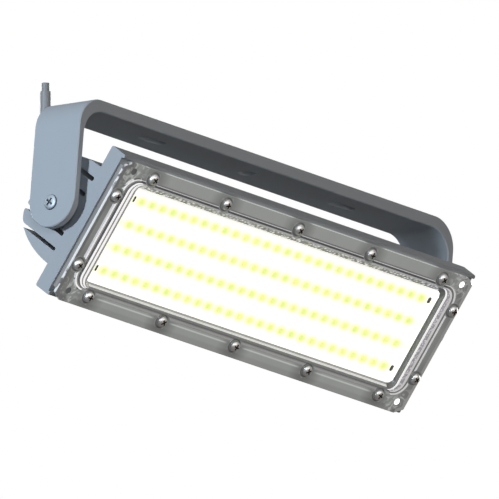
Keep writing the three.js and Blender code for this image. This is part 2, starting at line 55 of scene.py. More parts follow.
pivot = Vector(frame["joints"][0]["pos_m"])
camera_azimuth = math.radians(-47.37)
camera_elevation = math.radians(-13.88)
camera_roll = math.radians(4.31)
picture_width = 282.8 * MM
aim_right = 5.35 * MM
aim_up = 9.83 * MM
back = Vector((
    math.sin(camera_azimuth) * math.cos(camera_elevation),
    -math.cos(camera_azimuth) * math.cos(camera_elevation),
    math.sin(camera_elevation),
))
level = Vector((math.cos(camera_azimuth), math.sin(camera_azimuth), 0))
upright = back.cross(level)
right = level * math.cos(camera_roll) + upright * math.sin(camera_roll)
up = upright * math.cos(camera_roll) - level * math.sin(camera_roll)
lens = bpy.data.cameras.new("camera")
lens.lens = 1700
lens.sensor_width = 36
distance = picture_width * lens.lens / lens.sensor_width
lens.clip_start, lens.clip_end = distance / 100, distance * 10
camera = added("camera", lens)
camera.matrix_world = Matrix.Translation(
    pivot + right * aim_right + up * aim_up + back * distance
) @ Matrix((right, up, back)).transposed().to_4x4()
bpy.context.scene.camera = camera


# Supply lead: a round rubber-sheathed lead, squeezed by the gland behind the left end of the
# head. It bends up behind the bracket and ends bare, cut off for joining in a box.
class Wire:
    """One output of a shader node. Sums, products and powers of wires add Math nodes."""

    def __init__(self, nodes, socket):
        self.nodes, self.socket = nodes, socket

    def maths(self, operation, first, second=0):
        return self.nodes.node("ShaderNodeMath", {"operation": operation}, {0: first, 1: second})

    def __add__(self, other):
        return self.maths("ADD", self, other)

    def __sub__(self, other):
        return self.maths("SUBTRACT", self, other)

    def __rsub__(self, other):
        return self.maths("SUBTRACT", other, self)

    def __mul__(self, other):
        return self.maths("MULTIPLY", self, other)

    def __truediv__(self, other):
        return self.maths("DIVIDE", self, other)

    def __pow__(self, other):
        return self.maths("POWER", self, other)

    __radd__ = __add__
    __rmul__ = __mul__

    def size(self):
        """The value without its sign."""
        return self.maths("ABSOLUTE", self)

    def fraction(self):
        """What the value has past the whole number below it."""
        return self.maths("FRACT", self)

    def smaller(self, other):
        return self.maths("MINIMUM", self, other)

    def held(self, low=0, high=1):
        """The value, kept between two limits."""
        return self.maths("MAXIMUM", self, low).smaller(high)

    def past(self, start, slope):
        """Rises by the slope from 0 at the start, up to 1, or below the start with a minus."""
        return ((self - start) * slope).held()

    def near(self, middle, slope):
        """Is 1 at the middle and falls by the slope on both sides, down to 0."""
        return (1 - (self - middle).size() * slope).held()


def set_stops(elements, stops):
    """Gives a colour ramp its stops, each a place and a colour."""
    for index, (place, shade) in enumerate(stops):
        stop = elements[index] if index < len(elements) else elements.new(place)
        stop.position, stop.color = place, shade


class Nodes:
    """The shader nodes of a material or of the sky."""

    def __init__(self, owner):
        owner.use_nodes = True
        self.tree = owner.node_tree
        self.tree.nodes.clear()

    def node(self, kind, settings=None, inputs=None, output=0):
        """Adds a node with its settings and the values or wires of its sockets."""
        made = self.tree.nodes.new(kind)
        for name, value in (settings or {}).items():
            if name == "stops":
                set_stops(made.color_ramp.elements, value)
            elif name == "interpolation":
                made.color_ramp.interpolation = value
            else:
                setattr(made, name, value)
        for name, value in (inputs or {}).items():
            if isinstance(value, Wire):
                self.tree.links.new(value.socket, made.inputs[name])
            else:
                made.inputs[name].default_value = value
        return Wire(self, made.outputs[output]) if len(made.outputs) else None


class Finish(Nodes):
    """A procedural material. Its patterns read each point's place on the piece."""

    def __init__(self, name):
        self.material = bpy.data.materials.new(name)
        super().__init__(self.material)
        self.place = self.node("ShaderNodeTexCoord", output="Object")

    def noise(self, scale, detail, distortion=0):
        return self.node("ShaderNodeTexNoise", inputs={
            "Vector": self.place, "Scale": scale, "Detail": detail, "Distortion": distortion,
        })

    def mix(self, share, first, second):
        inputs = {0: share, 6: first, 7: second}
        return self.node("ShaderNodeMix", {"data_type": "RGBA"}, inputs, output=2)

    def bump(self, height, strength, depth):
        inputs = {"Height": height, "Strength": strength, "Distance": depth}
        return self.node("ShaderNodeBump", inputs=inputs)

    def surface(self, inputs):
        shader = self.node("ShaderNodeBsdfPrincipled", inputs=inputs)
        self.node("ShaderNodeOutputMaterial", inputs={"Surface": shader})
        return self.material


def colour(red, green, blue):
    """A colour as the eye reads it on a screen, 0 to 255, as the shader's own values."""
    shares = [value / 255 for value in (red, green, blue)]
    return (*[s / 12.92 if s <= 0.04045 else ((s + 0.055) / 1.055) ** 2.4 for s in shares], 1)


def toned(shade, share):
    """A colour times a share, darker below 1 and lighter above it."""
    return (*[min(1, value * share) for value in shade[:3]], 1)


def rubber_finish(name, shade):
    """Dull rubber with a fine grain, a little darker where it has been handled."""
    rubber = Finish(name)
    grain = rubber.noise(2600, 3)
    handling = rubber.noise(160, 2)
    return rubber.surface({
        "Base Color": rubber.mix(handling, toned(shade, 0.8), shade),
        "Roughness": handling * 0.16 + 0.46,
        "Normal": rubber.bump(grain, 0.25, 0.08 * MM),
    })


head_tilt = math.radians(34)
gland_offset = -109 * MM
gland_mouth = 45.8 * MM
lead_start = 33.8 * MM
lead_diameter = 6.2 * MM
lead_route = [
    (0, 43.9, 29.6),
    (-0.05, 47.3, 32.4),
    (-0.2, 50.2, 35.9),
    (-0.45, 52.5, 40),
    (-0.8, 53.9, 44.5),
    (-1.2, 54.5, 49.5),
    (-1.75, 54.6, 54.5),
    (-2.3, 54.6, 59.5),
    (-2.85, 54.6, 64.5),
    (-3.4, 54.6, 69.5),
    (-4, 54.6, 75.2),
    (-4.7, 54.6, 81.7),
]
head_frame = Matrix.Translation(pivot) @ Matrix.Rotation(head_tilt, 4, "X")
gland_exit = head_frame @ Vector((gland_offset, gland_mouth, 0))
lead_points = [head_frame @ Vector((gland_offset, lead_start, 0)), gland_exit]
above_gland = pivot + Vector((gland_offset, 0, 0))
lead_points += [above_gland + Vector(point) * MM for point in lead_route]


def cable(name, points, diameter, material):
    """A round tube along the points, as a curve with closed ends."""
    line = bpy.data.curves.new(name, "CURVE")
    line.dimensions = "3D"
    line.bevel_depth = diameter / 2
    line.bevel_resolution = 6
    line.resolution_u = 8
    line.use_fill_caps = True
    spline = line.splines.new("BEZIER")
    spline.bezier_points.add(len(points) - 1)
    for knot, point in zip(spline.bezier_points, points):
        knot.co = point
        knot.handle_left_type = knot.handle_right_type = "AUTO"
    line.materials.append(material)
    return added(name, line)


sheath = rubber_finish("lead_rubber", colour(145, 147, 150))
lead = cable("lead_sheath", lead_points, lead_diameter, sheath)
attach(lead, "head")
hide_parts("supply_lead")


# Lead core: the grey inner insulation that shows past the cut sheath. It is thinner than the
# sheath and trimmed square with a knife.
def mesh_of(name, work, materials=()):
    """A mesh made from a bmesh, which is let go, with its materials."""
    mesh = bpy.data.meshes.new(name)
    work.to_mesh(mesh)
    work.free()
    for material in materials:
        mesh.materials.append(material)
    return mesh


def new_piece(name, work, materials, body, replaced=()):
    """A piece from a bmesh, which rides on a body and may stand for CAD nodes."""
    piece = added(name, mesh_of(name, work, materials))
    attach(piece, body)
    if replaced:
        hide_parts(*replaced)
    return piece


def smooth(piece, angle=35):
    """Smooth shading, with edges that turn further than the angle kept crisp."""
    piece.data.polygons.foreach_set("use_smooth", [True] * len(piece.data.polygons))
    piece.data.set_sharp_from_angle(angle=math.radians(angle))
    piece.data.update()
    weights = piece.modifiers.new("weighted_normals", "WEIGHTED_NORMAL")
    weights.keep_sharp = True
    return piece


def turned(profile, sides):
    """A closed round body about the Z axis from points of radius and height, in metres."""
    work = bmesh.new()
    points = [work.verts.new((radius, 0, height)) for radius, height in profile]
    edges = [work.edges.new(pair) for pair in zip(points, points[1:])]
    bmesh.ops.spin(
        work, geom=points + edges, cent=(0, 0, 0), axis=(0, 0, 1), dvec=(0, 0, 0),
        angle=2 * math.pi, steps=sides, use_merge=True, use_duplicate=False,
    )
    bmesh.ops.remove_doubles(work, verts=work.verts, dist=1e-7)
    bmesh.ops.dissolve_degenerate(work, edges=work.edges, dist=1e-7)
    bmesh.ops.recalc_face_normals(work, faces=work.faces)
    return work


core_radius = 2.25 * MM
core_length = 4.7 * MM
core_gap = 0.3 * MM
core_edge = 0.25 * MM
core_end = core_gap + core_length
core_work = turned([
    (0, -core_gap), (core_radius, -core_gap), (core_radius, core_end - core_edge),
    (core_radius - core_edge, core_end), (0, core_end),
], sides=28)
last_run = (lead_points[-1] - lead_points[-2]).normalized()
core_turn = last_run.to_track_quat("Z", "Y").to_matrix().to_4x4()
core_work.transform(Matrix.Translation(lead_points[-1]) @ core_turn)
core = new_piece(
    "lead_core_end", core_work, [rubber_finish("core_insulation", colour(138, 142, 145))],
    "head", ["lead_core"],
)
smooth(core)


# Bracket: one bar of 34 mm flat aluminium, bent to a U, its arms machined thinner and rounded
# at their ends. It is powder coated in a satin blue grey.
def paint_finish(name, shade):
    """Satin powder coat, with a fine orange peel over slightly cloudy paint."""
    paint = Finish(name)
    peel = paint.noise(900, 2)
    speck = paint.noise(5200, 1)
    cloud = paint.noise(22, 3)
    return paint.surface({
        "Base Color": paint.mix(cloud, toned(shade, 0.93), toned(shade, 1.04)),
        "Roughness": cloud * 0.1 + speck * 0.06 + 0.42,
        "Specular IOR Level": 0.25,
        "Normal": paint.bump(peel + speck * 0.4, 0.18, 0.06 * MM),
    })


def finer(name, node, rounding, material, body):
    """A CAD node's shape with its triangles merged to flat faces and its edges rounded."""
    flat_angle = math.radians(0.4)
    crisp_angle = math.radians(34)
    work = bmesh.new()
    work.from_mesh(frame["nodes"][node].data)
    bmesh.ops.remove_doubles(work, verts=work.verts, dist=1e-6)
    bmesh.ops.dissolve_limit(work, angle_limit=flat_angle, verts=work.verts, edges=work.edges)
    crisp = [e for e in work.edges if e.is_manifold and e.calc_face_angle() > crisp_angle]
    bmesh.ops.bevel(
        work, geom=crisp, offset=rounding, offset_type="OFFSET", affect="EDGES", segments=2,
        profile=0.5, material=-1, clamp_overlap=True,
    )
    piece = new_piece(name, work, [material], body, [node])
    return smooth(piece, 40)


bar_edge = 0.25 * MM
bracket_paint = paint_finish("bracket_powder_coat", colour(170, 177, 184))
finer("bracket_bar", "bracket", bar_edge, bracket_paint, "bracket")


# Heat sink: the head's aluminium body, extruded with a flange in front and deep fins behind,
# sawn to length at both ends and coated nearly in the bracket's colour. Its lowest gap is about
# a quarter narrower than the others, and the fin below it reaches a little further back.
body_edge = 0.2 * MM
head_paint = paint_finish("head_powder_coat", colour(166, 172, 178))
heat_sink = finer("finned_body", "heat_sink", body_edge, head_paint, "head")
face_frame = head_frame @ Matrix.Rotation(math.pi / 2, 4, "X")
gap_top = -21.55 * MM
gap_low = -25.1 * MM
gap_end = 10.65 * MM
gap_share = 0.77
tip_top = -23 * MM
tip_start = -16 * MM
tip_reach = 2.1 * MM
for vert in heat_sink.data.vertices:
    place = face_frame.inverted() @ vert.co
    if gap_low < place.y < gap_top and place.z < gap_end:
        place.y = gap_top + (place.y - gap_top) * gap_share
        if place.z < tip_start and place.y < tip_top:
            place.z -= tip_reach
        vert.co = face_frame @ place


# Gasket and heat-conducting pad: a black silicone ring in its groove and a thin grey sheet
# behind the board. Both are hidden by the cover and the board.
gasket_rubber = rubber_finish("gasket_silicone", colour(40, 41, 43))
pad_rubber = rubber_finish("pad_silicone", colour(150, 154, 156))
frame["nodes"]["lens_gasket"].data.materials[0] = gasket_rubber
frame["nodes"]["thermal_pad"].data.materials[0] = pad_rubber


# Light board: a white sheet with four rows of white packages, each filled with round yellow
# phosphor. The sheet glows evenly white as painted light, with a painted yellow glow round each
# light, and has a narrow slot near each corner. The thick cover bends the light, so packages,
# glow and slots are drawn a little to the right.
board_length = 275 * MM
board_height = 63.6 * MM
board_radius = 4.5 * MM
board_back = 18.7 * MM
board_thickness = 1.6 * MM
led_columns = 28
led_rows = 4
led_pitch = 8.86 * MM
led_row_pitch = 14.95 * MM
led_width = 3.5 * MM
led_height = 0.8 * MM
led_corner = 0.3 * MM
led_edge = 0.1 * MM
led_shift = 1.4 * MM
phosphor_radius = led_width * 0.49
phosphor_flatness = 0.15
glow_shift_right = 2.2 * MM
glow_shift_down = 0.2 * MM
glow_stretch_along = 0.8
glow_stretch_across = 1.15
slot_offset = 126.2 * MM
slot_row = 1.5 * led_row_pitch
slot_length = 3.8 * MM
slot_depth = 0.05 * MM
slot_widths = (1.5 * MM, 2.4 * MM)
slot_shift = 2.7 * MM


def rounded_plate(work, length, height, radius, level, segments=6):
    """A flat face with round corners, across Z at a level, facing +Z. Returns the face."""
    known = set(work.faces)
    made = bmesh.ops.create_grid(work, x_segments=1, y_segments=1, size=0.5)
    bmesh.ops.scale(work, verts=made["verts"], vec=(length, height, 1))
    bmesh.ops.translate(work, verts=made["verts"], vec=(0, 0, level))
    bmesh.ops.bevel(
        work, geom=made["verts"], offset=radius, offset_type="OFFSET", affect="VERTICES",
        segments=segments, profile=0.5, material=-1, clamp_overlap=False,
    )
    face = [f for f in work.faces if f not in known][0]
    face.normal_update()
    if face.normal.z < 0:
        face.normal_flip()
    return face


def raised(work, face, height, material=0, keep=False):
    """Moves a face along Z on new walls, and keeps a copy behind only for a plate's back."""
    made = bmesh.ops.extrude_face_region(work, geom=[face], use_keep_orig=True)["geom"]
    moved = [part for part in made if isinstance(part, bmesh.types.BMFace)][0]
    bmesh.ops.translate(work, verts=moved.verts, vec=(0, 0, height))
    for edge in moved.edges:
        for wall in edge.link_faces:
            if wall != moved:
                wall.material_index = material
    if not keep and face.is_valid:
        bmesh.ops.delete(work, geom=[face], context="FACES_ONLY")
    return moved


def stepped_in(work, face, width, rise, material=0):
    """Narrows a face by a ring of the given width, whose inner edge rises by rise."""
    ring = bmesh.ops.inset_region(
        work, faces=[face], thickness=width, depth=0, use_even_offset=True, use_boundary=True,
    )["faces"]
    bmesh.ops.translate(work, verts=face.verts, vec=(0, 0, rise))
    for part in ring:
        part.material_index = material
    return face


def board_finish(name, white, yellow, glow):
    """White lacquer glowing as painted light, with a painted yellow glow round each light. The UV
    layer counts the lights.
    """
    glow_reach = 4.5
    fade = 0.38
    margin = 0.001
    board = Finish(name)
    plan = board.node("ShaderNodeUVMap", {"uv_map": "board_plan"})
    squares = 0
    for axis, count, pitch in (
        ("X", led_columns, led_pitch / MM * glow_stretch_along),
        ("Y", led_rows, led_row_pitch / MM * glow_stretch_across),
    ):
        along = board.node("ShaderNodeSeparateXYZ", inputs={0: plan}, output=axis)
        offset = (along.held(margin, count - margin).fraction() - 0.5) * pitch
        squares = offset * offset + squares
    # The painted yellow glow round each light, fading out past its reach.
    tint = (squares ** 0.5).past(glow_reach, -fade)
    lacquer = board.noise(60, 2)
    return board.surface({
        "Base Color": board.mix(tint, white, yellow),
        "Roughness": lacquer * 0.1 + 0.35,
        "Emission Color": board.mix(tint, white, yellow),
        "Emission Strength": glow,
    })


def glow_finish(name, base, glow, other_glow, strength, roughness):
    """A glowing surface: the phosphor's own light, and painted light on packages and screws,
    which are no lamps. Its glow drifts between two colours, as lights from one batch differ.
    """
    light = Finish(name)
    cloud = light.noise(900, 2)
    batch = (light.noise(75, 1) * 5 - 2).held()
    return light.surface({
        "Base Color": light.mix(cloud, toned(base, 0.9), base),
        "Roughness": cloud * 0.1 + roughness,
        "Emission Color": light.mix(batch, glow, other_glow),
        "Emission Strength": strength,
    })


# The board's glow is painted light: the white sheet is no lamp.
board_white = board_finish(
    "board_white", white=colour(255, 254, 248), yellow=colour(232, 249, 160), glow=0.85,
)
# The packages' white glow is painted light; only the phosphor gives light.
package_white = glow_finish(
    "package_white", colour(225, 228, 180), colour(232, 251, 158), colour(246, 251, 166),
    strength=0.9, roughness=0.35,
)
phosphor = glow_finish(
    "phosphor_yellow", colour(170, 178, 90), colour(229, 250, 150), colour(247, 250, 160),
    strength=0.92, roughness=0.3,
)
board_finishes = [board_white, package_white, phosphor]
package_index = board_finishes.index(package_white)
phosphor_index = board_finishes.index(phosphor)

chip = bmesh.new()
chip_face = rounded_plate(chip, led_width, led_width, led_corner, level=0, segments=2)
chip_face = raised(chip, chip_face, led_height - led_edge, package_index, keep=True)
chip_face = stepped_in(chip, chip_face, led_edge, led_edge, package_index)
chip_face.material_index = package_index
dome = bmesh.ops.create_uvsphere(chip, u_segments=20, v_segments=6, radius=phosphor_radius)
bmesh.ops.scale(chip, verts=dome["verts"], vec=(1, 1, phosphor_flatness))
bmesh.ops.translate(chip, verts=dome["verts"], vec=(0, 0, led_height))
for part in {f for v in dome["verts"] for f in v.link_faces}:
    part.material_index = phosphor_index
chip_mesh = mesh_of("chip", chip)

board_front = board_back + board_thickness
board_work = bmesh.new()
board_plan = board_work.loops.layers.uv.new("board_plan")
board_face = rounded_plate(board_work, board_length, board_height, board_radius, board_back)
board_face = raised(board_work, board_face, board_thickness, keep=True)
for face in board_work.faces:
    for loop in face.loops:
        loop[board_plan].uv = (
            (loop.vert.co.x - glow_shift_right) / led_pitch + led_columns / 2,
            (loop.vert.co.y + glow_shift_down) / led_row_pitch + led_rows / 2,
        )
for row in range(led_rows):
    for column in range(led_columns):
        copy = chip_mesh.copy()
        copy.transform(Matrix.Translation((
            (column - (led_columns - 1) / 2) * led_pitch + led_shift,
            (row - (led_rows - 1) / 2) * led_row_pitch,
            board_front,
        )))
        board_work.from_mesh(copy)
        bpy.data.meshes.remove(copy)
board_work.transform(face_frame)
board = new_piece(
    "board_with_chips", board_work, board_finishes, "head", ["led_board"],
)
smooth(board)
# Through the cover the slots look dark, and wider at the right end. They are thin marks of
# painted shade here.
slot_dark = Finish("slot_shadow").surface({"Base Color": colour(92, 88, 98), "Roughness": 0.7})
slots = bmesh.new()
for x, width in zip((-slot_offset, slot_offset), slot_widths):
    for y in (-slot_row, slot_row):
        known = set(slots.verts)
        mark = rounded_plate(slots, width, slot_length, width * 0.45, board_front, segments=3)
        raised(slots, mark, slot_depth, keep=True)
        drawn = list(set(slots.verts) - known)
        bmesh.ops.translate(slots, verts=drawn, vec=(x + slot_shift, y, 0))
slots.transform(face_frame)
new_piece("board_slots", slots, [slot_dark], "head")


# Lens cover: one clear moulding in front of the board. Its flange laps the head's lips and
# is dished round the screws, with a round hole in each corner. The raised frame round the sunk
# window has a bead round its foot, wide beads at its ends, and knurling above and on the right.
# Its glow, highlights and shade are painted light: each ring and side takes a lighter or darker
# glowing copy of the clear finish.
cover_length = 297.6 * MM
cover_height = 86.0 * MM
cover_rear = 21.7 * MM
cover_front = 25.9 * MM
edge_foot = 2.8 * MM
edge_round = 0.5 * MM
upper_lap = 0.9 * MM
lower_lap = 2.7 * MM
end_lap = 0.4 * MM
corner_cut_height = 3.4 * MM
corner_cut_extra = 2.6 * MM
hole_radius = 2.0 * MM
hole_depth = 0.5 * MM
hole_along = 140.4 * MM
hole_up = 38.7 * MM
dish_radius = 5.2 * MM
dish_depth = 0.12 * MM
row_pitch = 61.9 * MM
row_height = 38.2 * MM
end_length = 143.9 * MM
end_height = 22.35 * MM
screw_places = [((n - 2) * row_pitch, side * row_height) for side in (1, -1) for n in range(5)]
screw_places += [(end * end_length, side * end_height) for end in (-1, 1) for side in (1, -1)]


def clear_finish(name, shade, glow):
    """Clear plastic with painted light: a glowing tone, lighter or darker, that stands in for
    the highlights and shade on its edges and beads.
    """
    moulding = Finish(name)
    cloud = moulding.noise(70, 2)
    flow = moulding.noise(420, 2)
    painted_tone = moulding.mix(cloud, toned(shade, 0.78), shade)
    return moulding.surface({
        "Base Color": painted_tone,
        "Roughness": flow * 0.08 + 0.16,
        "Coat Weight": 0.4,
        "Coat Roughness": 0.05,
        "Emission Color": painted_tone,
        "Emission Strength": glow,
        "Normal": moulding.bump(flow, 0.08, 0.2 * MM),
    })


def rim_finish(name, shade, glow):
    """Clear plastic along an edge, whose painted highlight line is broken up near the corners."""
    rim = Finish(name)
    plan = rim.node("ShaderNodeUVMap", {"uv_map": "cover_plan"})
    y = rim.node("ShaderNodeSeparateXYZ", inputs={0: plan}, output="Y")
    waves = rim.noise(190, 1, 1.5)
    # The painted highlight goes dark in patches near the corners.
    broken = y.size().past(24, 0.2) * (waves * 8 - 3.6).held()
    painted_tone = rim.mix(broken, shade, toned(shade, 0.2))
    return rim.surface({
        "Base Color": painted_tone,
        "Roughness": waves * 0.1 + 0.15,
        "Coat Weight": 0.4,
        "Coat Roughness": 0.05,
        "Emission Color": painted_tone,
        "Emission Strength": glow,
        "Normal": rim.bump(waves, 0.3, 0.3 * MM),
    })


def flange_finish(name, glow, plain, crown_painted_light):
    """Clear plastic with painted shade near each screw. The UV layer gives the place on it in mm.

    Painted light shows away from the screws, in glints round their dishes, in a line along the
    lower side, in streaks at the corners and, by the crown's share, between the screws. Painted
    shade darkens the heads' seats, the ends, the corners and the lower lap.
    """
    flange = Finish(name)
    plan = flange.node("ShaderNodeUVMap", {"uv_map": "cover_plan"})
    x, y = [flange.node("ShaderNodeSeparateXYZ", inputs={0: plan}, output=axis) for axis in "XY"]
    pitch = row_pitch / MM
    beside = ((x / pitch + 0.5).fraction() - 0.5) * pitch
    above = y.size() - row_height / MM
    along = x.size() - end_length / MM
    across = y.size() - end_height / MM
    from_row = (beside * beside + above * above) ** 0.5
    from_end = (along * along + across * across) ** 0.5
    from_screw = from_row.smaller(from_end)
    flow = flange.noise(420, 2)
    painted_light_off_screws = from_screw.past(4.5, 0.11)
    # ring: painted glints round the dishes; seat: painted shade under each head's rim.
    ring = from_screw.near(5, 2.2) * (flow * 6 - 2.9).held()
    seat = from_screw.near(3.9, 1.4)
    between = beside.size().past(6, 0.3)
    inboard = x.size().past(134, -0.5)
    # line: a painted highlight along the lower side; low: painted shade on the lower lap.
    line = y.near(-38, 1.3) * between * inboard
    painted_end_shade = x.size().past(138, 0.4)
    low = y.past(-41.4, -0.8)
    corner = x.size().past(128, 0.12) * y.size().past(27, 0.15)
    painted_streaks = (flange.noise(150, 2, 2.5) * 7 - 3.4).held() * corner
    cloud = flange.noise(45, 2)
    painted_tone = (
        painted_light_off_screws * 0.17 + painted_streaks * 0.25 - corner * 0.05 - low * 0.05 + ring * 0.14 - seat * 0.15
        + line * 0.3 - painted_end_shade * painted_light_off_screws * 0.11 + cloud * 0.05 + plain
    )
    if crown_painted_light:
        painted_tone = painted_tone + between * inboard * crown_painted_light
    light = flange.mix(painted_tone.held(), (0, 0, 0, 1), (0.95, 1, 0.98, 1))
    return flange.surface({
        "Base Color": light,
        "Roughness": flow * 0.08 + 0.16,
        "Coat Weight": 0.4,
        "Coat Roughness": 0.05,
        "Emission Color": light,
        "Emission Strength": glow,
        "Normal": flange.bump(flow, 0.06, 0.2 * MM),
    })


def knurl_finish(name, glow, scale, evenness):
    """Clear plastic with a pressed pattern of small pyramids, and a painted glitter of light and
    dark in its colour and glow.
    """
    strip = Finish(name)
    cells = strip.node(
        "ShaderNodeTexVoronoi", inputs={"Vector": strip.place, "Scale": scale, "Randomness": 0.9},
        output="Distance",
    )
    grain = strip.noise(700, 1)
    painted_glitter = [
        (0.36, (0.93, 0.9, 1, 1)),
        (0.47, (0.3, 0.3, 0.4, 1)),
        (0.64, (0.05, 0.05, 0.08, 1)),
    ]
    depth = cells * 0.7 + grain * 0.35
    pattern = strip.node("ShaderNodeValToRGB", {"stops": painted_glitter}, {"Fac": depth})
    mask = strip.mix(evenness, pattern, (0.5, 0.5, 0.5, 1))
    return strip.surface({
        "Base Color": mask,
        "Roughness": grain * 0.2 + 0.15,
        "Emission Color": mask,
        "Emission Strength": glow,
        "Normal": strip.bump(cells, 0.5, 0.3 * MM),
    })


# The cover's finishes, each known by its place in the list below. All but the pane are painted
# light and shade: glowing tones of clear plastic from glint to dark, lit and shaded holes, and
# knurling with painted glitter.
(
    FLANGE, GLINT, PALE, SOFT, MID, DIM, KNURL, PANE, CROWN, PAINTED_HOLE_LIGHT, PAINTED_HOLE_SHADE, KNURL_END, DARK, WALL,
    RIM,
) = range(15)
cover_finishes = [
    flange_finish("clear_flange", glow=0.45, plain=0.2, crown_painted_light=0),
    clear_finish("clear_glint", colour(255, 255, 255), glow=0.8),
    clear_finish("clear_pale", colour(228, 229, 230), glow=0.55),
    clear_finish("clear_soft", colour(196, 197, 198), glow=0.45),
    clear_finish("clear_mid", colour(168, 169, 169), glow=0.45),
    clear_finish("clear_dim", colour(122, 123, 124), glow=0.45),
    knurl_finish("knurled_side", glow=0.4, scale=480, evenness=0.1),
    Finish("window_pane").surface({"Base Color": (1, 1, 1, 1), "Roughness": 0.03, "Alpha": 0.04}),
    flange_finish("clear_crown", glow=0.45, plain=0.2, crown_painted_light=0.25),
    clear_finish("hole_light", colour(255, 255, 255), glow=0.95),
    clear_finish("hole_shade", colour(110, 113, 116), glow=0.3),
    knurl_finish("knurled_end", glow=0.6, scale=760, evenness=0.6),
    clear_finish("clear_dark", colour(88, 89, 91), glow=0.4),
    clear_finish("clear_wall", colour(118, 119, 120), glow=0.22),
    rim_finish("clear_rim", colour(200, 201, 202), glow=0.45),
]

cover_work = bmesh.new()
rear = rounded_plate(
    cover_work, cover_length, cover_height, corner_cut_height, cover_rear, segments=1,
)
long_edge = cover_height / 2 - 0.1 * MM
for vert in rear.verts:
    if abs(vert.co.y) > long_edge:
        vert.co.x -= math.copysign(corner_cut_extra, vert.co.x)
outer = raised(cover_work, rear, edge_foot, DIM, keep=True)
for part in cover_work.faces:
    if part.calc_center_median().y > long_edge:
        part.material_index = CROWN


def on_sides(faces, finishes, side_reach):
    """Gives the faces of a ring the finish of their side: left, right, lower or upper."""
    for part in faces:
        x, y, _ = part.calc_center_median()
        if abs(x) > side_reach:
            part.material_index = finishes[1 if x > 0 else 0]
        else:
            part.material_index = finishes[3 if y > 0 else 2]


long_side_reach = 144 * MM
lap_step = 0.05 * MM


def edged(work, face, width, rise, finishes):
    """Narrows and raises a face on a ring that has a finish for each side."""
    known = set(work.faces)
    face = stepped_in(work, face, width, rise) if width else raised(work, face, rise)
    on_sides(set(work.faces) - known - {face}, finishes, long_side_reach)
    return face


outer = edged(cover_work, outer, lap_step, 0, (MID, MID, FLANGE, CROWN))
for vert in outer.verts:
    if vert.co.y < 0:
        vert.co.y -= lower_lap
    else:
        vert.co.y += upper_lap
    if vert.co.x < 0:
        vert.co.x -= end_lap
wall_height = cover_front - cover_rear - edge_foot - edge_round
# A ring's width and rise, and its finish on the left, right, lower and upper side, each a tone
# of painted light and shade.
for width, rise, finishes in (
    (0, wall_height, (RIM, MID, MID, CROWN)),
    (0.4 * MM, edge_round, (RIM, MID, FLANGE, CROWN)),
    (0.5 * MM, 0, (DIM, MID, FLANGE, FLANGE)),
    (1.7 * MM, 0, (DIM, MID, FLANGE, FLANGE)),
):
    outer = edged(cover_work, outer, width, rise, finishes)
bmesh.ops.delete(cover_work, geom=[outer], context="FACES_ONLY")


def filled(work, material):
    """Fills the flat band between the two open rims."""
    rims = [edge for edge in work.edges if len(edge.link_faces) < 2]
    for part in bmesh.ops.triangle_fill(work, edges=rims, use_beauty=True)["geom"]:
        if isinstance(part, bmesh.types.BMFace):
            part.material_index = material


def stepped_to(work, face, old, new):
    """Draws a face in to the next outline, on a ring that is finished side by side."""
    known = set(work.faces)
    inner = raised(work, face, (new.level - old.level) * MM)
    for vert in inner.verts:
        for axis in (0, 1):
            place = vert.co[axis]
            side = "across" if axis else "right" if place > 0 else "left"
            old_side, new_side = getattr(old, side), getattr(new, side)
            share = (abs(place) / MM - old_side + old.corner) / old.corner
            vert.co[axis] = math.copysign((new_side - new.corner + share * new.corner) * MM, place)
    on_sides(set(work.faces) - known - {inner}, old.finishes, (new.right - new.corner) * MM)
    return inner


# The frame's outlines from its foot to the window: how far the left end, the right end and the
# long sides lie from the middle, the level and the corners' radius, all in mm, then the
# finishes of the ring inside each on its left, right, lower and upper side, which paint its
# light and shade side by side.
Outline = namedtuple("Outline", "left right across level corner finishes")
frame_outlines = [
    Outline(142.9, 142.4, 36.5, 25.9, 10.6, (RIM, MID, MID, DIM)),
    Outline(141.8, 141.3, 35.8, 26.5, 9.6, (GLINT, PALE, MID, PALE)),
    Outline(140.4, 140.2, 35.2, 26.1, 8.8, (MID, DIM, MID, DARK)),
    Outline(139.0, 138.6, 34.6, 25.9, 8.2, (DARK, DARK, DIM, DARK)),
    Outline(138.4, 138.0, 34.2, 27.0, 7.6, (GLINT, PALE, DIM, SOFT)),
    Outline(136.9, 136.1, 33.8, 27.1, 6.9, (MID, KNURL_END, DIM, SOFT)),
    Outline(135.7, 134.9, 33.6, 27.1, 6.2, (GLINT, KNURL_END, DIM, SOFT)),
    Outline(134.0, 133.2, 33.4, 27.1, 5.6, (MID, GLINT, DIM, SOFT)),
    Outline(132.5, 131.7, 33.2, 27.0, 5.0, (MID, WALL, DIM, KNURL)),
    Outline(132.3, 131.5, 32.4, 26.1, 4.6, (MID, WALL, PALE, KNURL)),
    Outline(132.0, 131.2, 31.4, 25.0, 4.3, (MID, WALL, MID, KNURL)),
    Outline(131.4, 130.6, 30.45, 24.0, 4.0, None),
]
frame_foot = frame_outlines[0]
inner = rounded_plate(
    cover_work, 2 * frame_foot.left * MM, 2 * frame_foot.across * MM, frame_foot.corner * MM,
    frame_foot.level * MM, segments=10,
)
for vert in inner.verts:
    if vert.co.x > 0:
        vert.co.x -= (frame_foot.left - frame_foot.right) * MM
for outline, next_outline in zip(frame_outlines, frame_outlines[1:]):
    inner = stepped_to(cover_work, inner, outline, next_outline)
inner.material_index = PANE
filled(cover_work, FLANGE)

pane_length = 273 * MM
pane_height = 64 * MM
pane_corner = 4 * MM
bmesh.ops.delete(cover_work, geom=[rear], context="FACES_ONLY")
back_pane = rounded_plate(
    cover_work, pane_length, pane_height, pane_corner, cover_rear, segments=10,
)
back_pane.material_index = PANE
filled(cover_work, FLANGE)
bmesh.ops.recalc_face_normals(cover_work, faces=cover_work.faces)


